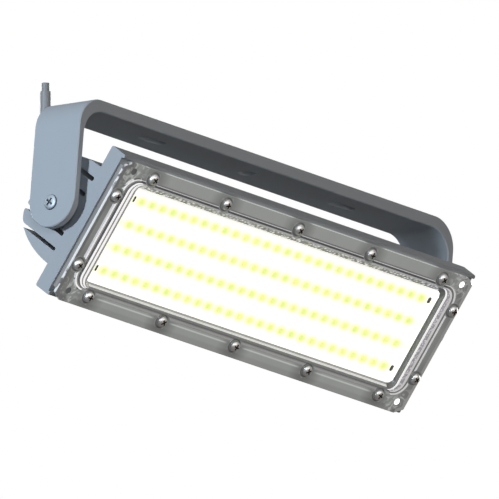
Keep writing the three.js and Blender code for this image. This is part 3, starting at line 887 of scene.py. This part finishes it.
def carved(name, mesh, cutters):
    """The mesh with the cutters' meshes taken out of it. The cut faces keep their finish."""
    blank = added(name, mesh)
    spare = [blank]
    for shape in cutters:
        cutter = added("cutter", shape)
        spare.append(cutter)
        cut = blank.modifiers.new("cut", "BOOLEAN")
        cut.object = cutter
        cut.operation = "DIFFERENCE"
        cut.solver = "EXACT"
    bpy.context.view_layer.update()
    depsgraph = bpy.context.evaluated_depsgraph_get()
    finished = bpy.data.meshes.new_from_object(blank.evaluated_get(depsgraph))
    for item in spare:
        bpy.data.objects.remove(item)
    return finished


def placed(work, part, place):
    """Puts a turned part into a bmesh at a place, and lets the part go."""
    part.transform(Matrix.Translation(place))
    shape = mesh_of("part", part)
    work.from_mesh(shape)
    bpy.data.meshes.remove(shape)


cutter_top = 3 * MM
hollows = bmesh.new()
# Shares of the dish's radius and depth, up to a nearly straight wall clear of the cover.
dish_profile = [
    (0, -1), (0.5, -1), (0.74, -0.85), (0.88, -0.45), (0.98, 0), (1, 0.5), (1.01, 10), (0, 10),
]
for x, y in screw_places:
    dish = turned([(r * dish_radius, h * dish_depth) for r, h in dish_profile], sides=48)
    placed(hollows, dish, (x, y, cover_front))
# The holes through the corners are shallow wells here, with painted shade on the left and
# painted light on the right.
for x in (-hole_along, hole_along):
    for y in (-hole_up, hole_up):
        well = turned([
            (0, -hole_depth), (hole_radius, -hole_depth),
            (hole_radius, cutter_top), (0, cutter_top),
        ], sides=32)
        for part in well.faces:
            part.material_index = PAINTED_HOLE_LIGHT if x > 0 else PAINTED_HOLE_SHADE
        placed(hollows, well, (x, y, cover_front))
cover_blank = mesh_of("cover_blank", cover_work, cover_finishes)
cover_mesh = carved("cover_blank", cover_blank, [mesh_of("hollows", hollows, cover_finishes)])
cover_plan = cover_mesh.uv_layers.new(name="cover_plan")
for loop in cover_mesh.loops:
    cover_plan.data[loop.index].uv = cover_mesh.vertices[loop.vertex_index].co.xy / MM
cover_mesh.transform(face_frame)
cover = added("clear_cover", cover_mesh)
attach(cover, "head")
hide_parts("lens_cover")
smooth(cover, 28)


# Screws: stainless pan heads with a cross recess. Fourteen M3 hold the cover, four M2 the
# board, and one M5 at each end is the pivot that the head tilts on.
def steel_finish(name, shade, roughness):
    """Bare steel, a little cloudy, with scratches finer than the eye can follow."""
    steel = Finish(name)
    scratch = steel.noise(3200, 4)
    cloud = steel.noise(400, 2)
    return steel.surface({
        "Base Color": steel.mix(cloud, toned(shade, 0.86), shade),
        "Metallic": 1.0,
        "Roughness": scratch * 0.14 + roughness,
        "Normal": steel.bump(scratch, 0.06, 0.02 * MM),
    })


def pan_screw(name, head_diameter, head_height, shank_diameter, reach, finishes):
    """A screw along Z, its seat at 0 and its head above. Returns its mesh."""
    radius = head_diameter / 2
    work = turned([
        (0, -reach), (shank_diameter / 2 * 0.8, -reach), (shank_diameter / 2, -reach * 0.93),
        (shank_diameter / 2, 0), (radius * 0.96, 0), (radius, head_height * 0.06),
        (radius, head_height * 0.34), (radius * 0.96, head_height * 0.5),
        (radius * 0.86, head_height * 0.72), (radius * 0.7, head_height * 0.88),
        (radius * 0.45, head_height * 0.97), (0, head_height),
    ], sides=40)
    arm_size = Vector((head_diameter * 0.72, head_diameter * 0.15, head_height))
    arm_foot = Vector((0.6, 0.8, 1))
    arm_rise = head_height * 0.86
    cutters = []
    for turn in (0, math.pi / 2):
        arm = bmesh.new()
        made = bmesh.ops.create_cube(arm, size=1)
        bmesh.ops.scale(arm, verts=made["verts"], vec=arm_size)
        foot = [vert for vert in made["verts"] if vert.co.z < 0]
        bmesh.ops.scale(arm, verts=foot, vec=arm_foot)
        bmesh.ops.translate(arm, verts=made["verts"], vec=(0, 0, arm_rise))
        around = Matrix.Rotation(turn, 3, "Z")
        bmesh.ops.rotate(arm, verts=made["verts"], cent=(0, 0, 0), matrix=around)
        for part in arm.faces:
            part.material_index = 1
        cutters.append(mesh_of("recess", arm, finishes))
    return carved(name, mesh_of(name, work, finishes), cutters)


def place_screw(name, mesh, node, place):
    """A copy of a screw's mesh, moved to its place, that stands for a CAD node."""
    copy = mesh.copy()
    copy.transform(place)
    piece = added(name, copy)
    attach(piece, "head")
    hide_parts(node)
    return smooth(piece, 30)


screw_steel = steel_finish("stainless_steel", colour(246, 247, 247), roughness=0.36)
# The cross recesses are painted dark as shade.
recess_shade_paint = rubber_finish("recess_shadow", colour(24, 25, 27))
cover_screw = pan_screw(
    "cover_screw", head_diameter=6.4 * MM, head_height=2.6 * MM, shank_diameter=3 * MM,
    reach=11.2 * MM, finishes=[screw_steel, recess_shade_paint],
)
# Each cross stands at an angle of its own, as the screws were driven home.
first_turn = 23
turn_step = 41
quarter_turn = 90
for number, (x, y) in enumerate(screw_places, 1):
    turn = math.radians(first_turn + turn_step * number % quarter_turn)
    seat = face_frame @ Matrix.Translation((x, y, cover_front))
    place_screw(
        f"cover_screw_{number:02d}", cover_screw, f"lens_screw_{number:02d}",
        seat @ Matrix.Rotation(turn, 4, "Z"),
    )

# The board screws glow white like the board: painted light, as they are no lamps.
white_glow = colour(254, 254, 250)
painted_glow_cap = glow_finish(
    "white_screw", colour(240, 240, 236), white_glow, white_glow, strength=0.9, roughness=0.4,
)
board_screw = pan_screw(
    "board_screw", head_diameter=4 * MM, head_height=1.3 * MM, shank_diameter=2 * MM,
    reach=5 * MM, finishes=[painted_glow_cap, painted_glow_cap],
)
board_screw_along = 133.5 * MM
board_screw_up = 26 * MM
seat_gap = 0.3 * MM
for number, (x, y) in enumerate([(-1, 1), (1, 1), (-1, -1), (1, -1)], 1):
    place = (x * board_screw_along, y * board_screw_up, board_front + seat_gap)
    seat = face_frame @ Matrix.Translation(place)
    place_screw(f"sheet_screw_{number}", board_screw, f"board_screw_{number}", seat)

pivot_steel = steel_finish("pivot_steel", colour(168, 180, 190), roughness=0.5)
# The pivot's recess is painted dark as shade.
pivot_shadow = rubber_finish("pivot_recess", colour(74, 80, 86))
pivot_screw = pan_screw(
    "pivot_screw", head_diameter=8.8 * MM, head_height=1.5 * MM, shank_diameter=5 * MM,
    reach=22.2 * MM, finishes=[pivot_steel, pivot_shadow],
)
# The rim of a pivot's head takes the painted shade of its recess.
pivot_bright_radius = 4 * MM
pivot_seat = 160.5 * MM
pivot_turn = 0.9
for part in pivot_screw.polygons:
    if part.center.xy.length > pivot_bright_radius:
        part.material_index = 1
for side, direction in (("left", -1), ("right", 1)):
    seat = Matrix.Translation(pivot + Vector((direction * pivot_seat, 0, 0)))
    aim = Vector((direction, 0, 0)).to_track_quat("Z", "Y").to_matrix().to_4x4()
    place_screw(
        f"pivot_bolt_{side}", pivot_screw, f"pivot_screw_{side}",
        seat @ aim @ Matrix.Rotation(pivot_turn, 4, "Z"),
    )


# Friction washers and cable gland: moulded nylon, dark at the pivots and grey behind. A washer
# lies between each arm and the head. The gland is screwed into the rib behind, on rubber.
def nylon_finish(name, shade):
    """Moulded nylon with a fine grain, half dull and a little cloudy."""
    nylon = Finish(name)
    grain = nylon.noise(1800, 3)
    cloud = nylon.noise(120, 2)
    return nylon.surface({
        "Base Color": nylon.mix(cloud, toned(shade, 0.85), shade),
        "Roughness": cloud * 0.14 + 0.4,
        "Normal": nylon.bump(grain, 0.15, 0.05 * MM),
    })


washer_nylon = nylon_finish("washer_nylon", colour(88, 90, 92))
gland_nylon = nylon_finish("gland_nylon", colour(122, 126, 130))
for name, material in (
    ("pivot_washer_left", washer_nylon), ("pivot_washer_right", washer_nylon),
    ("gland_body", gland_nylon), ("gland_nut", gland_nylon),
    ("gland_washer", gasket_rubber), ("gland_seal", gasket_rubber),
):
    frame["nodes"][name].data.materials[0] = material


# Wires: two thin wires in coloured plastic, red and black, which lead from the gland through
# the rib to the back of the board.
for name, shade in (("wire_positive", colour(170, 36, 42)), ("wire_negative", colour(34, 35, 37))):
    frame["nodes"][name].data.materials[0] = rubber_finish(f"{name}_sleeve", shade)


# Stage: a wide floor far below the hanging light, and a sky. Both are white to the camera. In
# glossy finishes the floor mirrors as a dim grey, and the sky as paler towards the upper left.
floor_drop = 14.0
floor_size = 300
floor_work = bmesh.new()
bmesh.ops.create_grid(floor_work, x_segments=1, y_segments=1, size=floor_size / 2)
bmesh.ops.translate(floor_work, verts=floor_work.verts, vec=(0, 0, -floor_drop))
white = (1, 1, 1, 1)
mirrored_floor = (0.18, 0.17, 0.16, 1)
floor_paint = Finish("floor_white")
to_camera = floor_paint.node("ShaderNodeLightPath", output="Is Camera Ray")
to_gloss = floor_paint.node("ShaderNodeLightPath", output="Is Glossy Ray")
plain = floor_paint.node("ShaderNodeBsdfDiffuse", inputs={"Color": (0.35, 0.35, 0.35, 1)})
dim = floor_paint.node("ShaderNodeEmission", inputs={"Color": mirrored_floor, "Strength": 1})
bright = floor_paint.node("ShaderNodeEmission", inputs={"Color": white, "Strength": 1})
unseen = floor_paint.node("ShaderNodeMixShader", inputs={0: to_gloss, 1: plain, 2: dim})
shown = floor_paint.node("ShaderNodeMixShader", inputs={0: to_camera, 1: unseen, 2: bright})
floor_paint.node("ShaderNodeOutputMaterial", inputs={"Surface": shown})
floor = added("floor", mesh_of("floor", floor_work, [floor_paint.material]))

world = bpy.data.worlds.new("sky")
bpy.context.scene.world = world
sky = Nodes(world)
upper_left = (-0.85, -0.1, 0.52)
mirrored_sky = [(0, (0.34, 0.34, 0.34, 1)), (0.7, white)]
to_camera = sky.node("ShaderNodeLightPath", output="Is Camera Ray")
to_gloss = sky.node("ShaderNodeLightPath", output="Is Glossy Ray")
heading = sky.node("ShaderNodeTexCoord", output="Generated")
towards = sky.node(
    "ShaderNodeVectorMath", {"operation": "DOT_PRODUCT"}, {0: heading, 1: upper_left}, "Value",
)
paler = sky.node(
    "ShaderNodeValToRGB", {"interpolation": "EASE", "stops": mirrored_sky}, {"Fac": towards},
)
fill = sky.node("ShaderNodeBackground", inputs={"Color": (1, 0.92, 0.85, 1), "Strength": 0.029})
mirrored = sky.node("ShaderNodeBackground", inputs={"Color": paler, "Strength": 1})
bright = sky.node("ShaderNodeBackground", inputs={"Color": white, "Strength": 1})
unseen = sky.node("ShaderNodeMixShader", inputs={0: to_gloss, 1: fill, 2: mirrored})
shown = sky.node("ShaderNodeMixShader", inputs={0: to_camera, 1: unseen, 2: bright})
sky.node("ShaderNodeOutputWorld", inputs={"Surface": shown})


# Lamps: a small bright box on the left, in line with the pivots, weak ones beside the camera
# and in front, and two wide ones for the right end, the back and the top. All are in metres.
def soft_box(name, place, size, watts, tint):
    """A square lamp that faces the pivot."""
    lamp = bpy.data.lights.new(name, "AREA")
    lamp.shape = "SQUARE"
    lamp.size = size
    lamp.energy = watts
    lamp.color = tint
    box = added(name, lamp)
    aim = (Vector(place) - pivot).to_track_quat("Z", "Y")
    box.matrix_world = Matrix.Translation(place) @ aim.to_matrix().to_4x4()


soft_box("left_box", (-2.4, -0.01, -0.05), size=0.16, watts=44, tint=(0.78, 0.89, 1))
soft_box("side_box", (-1.75, -1.6, -0.05), size=0.5, watts=9.5, tint=(0.82, 0.91, 1))
soft_box("front_box", (0.1, -2.4, -0.2), size=1.4, watts=13.5, tint=(1, 0.86, 0.74))
soft_box("rear_box", (0.5, 2.2, 0.75), size=1.2, watts=34, tint=(1, 0.99, 0.98))
soft_box("right_box", (2.3, 0.5, 0.5), size=0.9, watts=32, tint=(1, 0.99, 0.98))

bpy.context.scene.view_settings.view_transform = "Standard"
